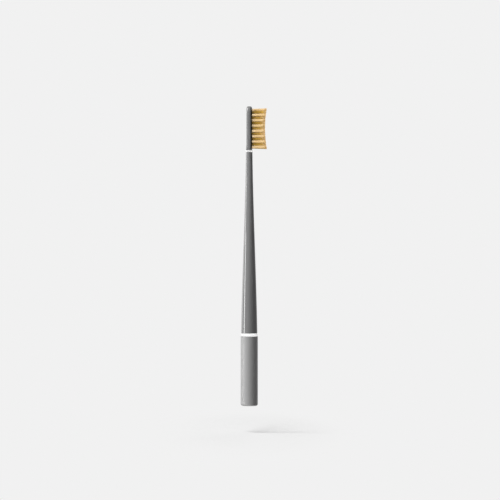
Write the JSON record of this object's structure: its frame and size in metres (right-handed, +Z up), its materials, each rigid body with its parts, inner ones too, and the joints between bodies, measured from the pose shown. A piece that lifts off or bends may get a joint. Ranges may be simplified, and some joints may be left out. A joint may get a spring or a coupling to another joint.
{
  "type": "toothbrush",
  "caption": "Slim manual toothbrush with a pull-off bristle head, a glossy tapered handle, white spacer rings and a screw-on matt base that it stands on.",
  "frame": {"origin": "centre of the flat foot under the base, on the brush's axis", "axes": "+Z up along the brush from the foot to the toe of the head, +X the way the bristles point, +Y across the head"},
  "size_m": [0.0168, 0.0124, 0.1919],
  "materials": {
    "head_satin": "satin mid grey moulding",
    "handle_gloss": "polished dark grey moulding",
    "base_lacquer": "turned bar under a fine matt grey lacquer",
    "ring_white": "soft white silicone",
    "bristle_nylon": "golden nylon filament with rounded ends",
    "anchor_brass": "cut flat wire",
    "seal_rubber": "pale moulded elastomer",
    "stud_steel": "turned steel with a cut thread"
  },
  "bodies": {
    "handle": {"handle_shell": "handle_gloss", "base_stud": "stud_steel", "base_seal": "seal_rubber"},
    "head": {"head_plate": "head_satin", "neck_ring": "ring_white", "shank_seal": "seal_rubber", "tufts_left": "bristle_nylon", "tufts_middle": "bristle_nylon", "tufts_right": "bristle_nylon", "tuft_anchor_01": "anchor_brass", "tuft_anchor_02": "anchor_brass", "tuft_anchor_03": "anchor_brass", "tuft_anchor_04": "anchor_brass", "tuft_anchor_05": "anchor_brass", "tuft_anchor_06": "anchor_brass", "tuft_anchor_07": "anchor_brass", "tuft_anchor_08": "anchor_brass", "tuft_anchor_09": "anchor_brass", "tuft_anchor_10": "anchor_brass", "tuft_anchor_11": "anchor_brass", "tuft_anchor_12": "anchor_brass", "tuft_anchor_13": "anchor_brass", "tuft_anchor_14": "anchor_brass", "tuft_anchor_15": "anchor_brass", "tuft_anchor_16": "anchor_brass", "tuft_anchor_17": "anchor_brass", "tuft_anchor_18": "anchor_brass", "tuft_anchor_19": "anchor_brass", "tuft_anchor_20": "anchor_brass", "tuft_anchor_21": "anchor_brass", "tuft_anchor_22": "anchor_brass", "tuft_anchor_23": "anchor_brass", "tuft_anchor_24": "anchor_brass", "tuft_anchor_25": "anchor_brass", "tuft_anchor_26": "anchor_brass", "tuft_anchor_27": "anchor_brass", "tuft_anchor_28": "anchor_brass", "tuft_anchor_29": "anchor_brass", "tuft_anchor_30": "anchor_brass", "tuft_anchor_31": "anchor_brass", "tuft_anchor_32": "anchor_brass", "tuft_anchor_33": "anchor_brass", "tuft_anchor_34": "anchor_brass", "tuft_anchor_35": "anchor_brass", "tuft_anchor_36": "anchor_brass"},
    "base_ring": {"base_ring": "ring_white"},
    "base": {"base": "base_lacquer"}
  },
  "joints": [
    {"name": "head_release", "type": "slide", "parent": "handle", "child": "head", "axis": [0, 0, 1], "range_m": [0, 0.018]},
    {"name": "base_draw", "type": "slide", "parent": "handle", "child": "base_ring", "axis": [0, 0, -1], "range_m": [0, 0.009]},
    {"name": "base_unscrew", "type": "hinge", "parent": "base_ring", "child": "base", "pos_m": [0, 0, 0.0222], "axis": [0, 0, -1], "range_deg": [0, 1620]}
  ],
  "couplings": [
    {"joint": "base_draw", "follows": "base_unscrew", "m_per_rad": 0.0003183}
  ]
}
